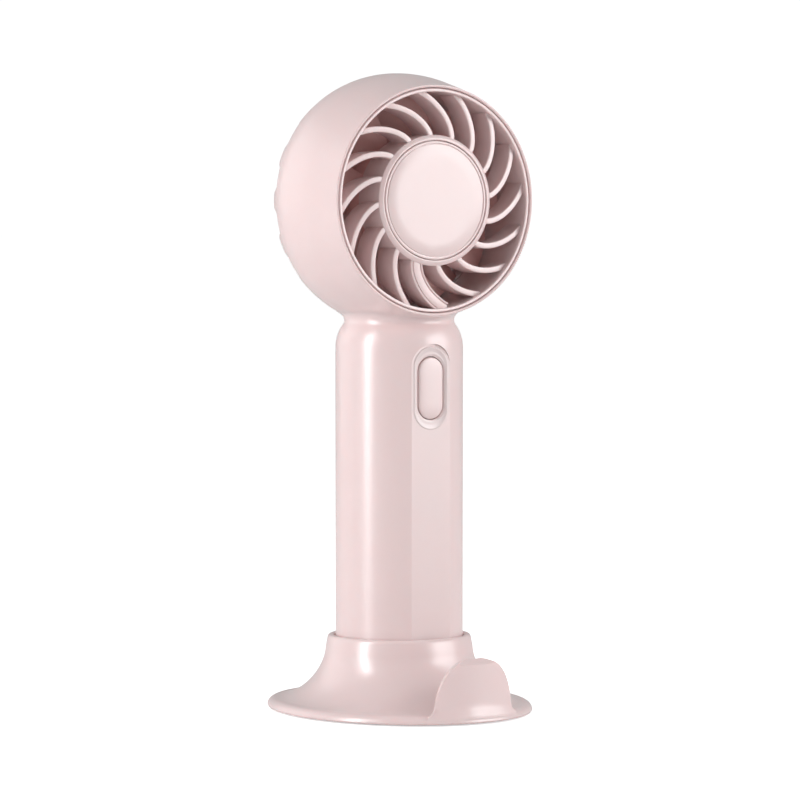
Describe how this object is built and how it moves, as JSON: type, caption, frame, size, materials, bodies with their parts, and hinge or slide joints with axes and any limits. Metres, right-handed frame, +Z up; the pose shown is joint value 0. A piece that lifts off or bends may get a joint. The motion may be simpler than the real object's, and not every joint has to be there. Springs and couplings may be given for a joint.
{
  "type": "handheld fan",
  "caption": "Battery handheld fan with a drum-shaped caged head on a round handle, standing in an oval desk stand with a phone tab.",
  "frame": {"origin": "on the table under the handle's axis, at the middle of the stand's footprint", "axes": "+Z up along the handle, -Y the way the air leaves, +X to the right of someone who faces the front of the fan"},
  "size_m": [0.0754, 0.0894, 0.1896],
  "materials": {
    "shell": "satin",
    "blade_plastic": "satin",
    "brass": "machined",
    "bearing_steel": "ground",
    "circuit_board": "solder mask",
    "screw_steel": "zinc plated",
    "core_steel": "coated laminations",
    "winding_copper": "enamelled copper",
    "red_wire": "satin",
    "black_wire": "satin",
    "can_steel": "drawn",
    "magnet": "sintered",
    "black_plastic": "moulded",
    "white_plastic": "moulded",
    "cell_wrap": "heat-shrink sleeve",
    "nickel": "satin",
    "port_metal": "satin",
    "plate_steel": "stamped",
    "pad_rubber": "foamed"
  },
  "bodies": {
    "stand": {"stand_body": "shell", "stand_plate": "plate_steel", "stand_screws": "screw_steel", "foot_pad": "pad_rubber"},
    "fan": {"housing": "shell", "front_grille": "shell", "hub_disc": "shell", "rear_grille": "shell", "bearing_tube": "brass", "front_bearing": "bearing_steel", "rear_bearing": "bearing_steel", "motor_board": "circuit_board", "motor_screws": "screw_steel", "stator_core": "core_steel", "stator_windings": "winding_copper", "motor_leads": "red_wire", "button_bezel": "shell", "switch_body": "black_plastic", "control_board": "circuit_board", "control_board_parts": "black_plastic", "control_board_screws": "screw_steel", "cell_carrier": "white_plastic", "battery_cell": "cell_wrap", "cell_tabs": "nickel", "cell_leads": "red_wire", "power_leads": "black_wire", "charge_board": "circuit_board", "charge_board_parts": "black_plastic", "usb_c_port": "port_metal", "bottom_cap": "shell", "bottom_cap_screws": "screw_steel"},
    "rotor": {"impeller": "blade_plastic", "rotor_can": "can_steel", "rotor_magnet": "magnet", "motor_shaft": "bearing_steel", "shaft_clip": "screw_steel"},
    "button": {"button_cap": "shell", "switch_plunger": "black_plastic"}
  },
  "joints": [
    {"name": "fan_lift", "type": "slide", "parent": "stand", "child": "fan", "axis": [0, 0, 1], "range_m": [0, 0.03]},
    {"name": "blade_spin", "type": "hinge", "parent": "fan", "child": "rotor", "pos_m": [0, 0, 0.1519], "axis": [0, -1, 0], "continuous": true},
    {"name": "button_press", "type": "slide", "parent": "fan", "child": "button", "axis": [0, 1, 0], "range_m": [0, 0.0005], "stiffness_N_per_m": 800, "springref_m": -0.0005}
  ]
}
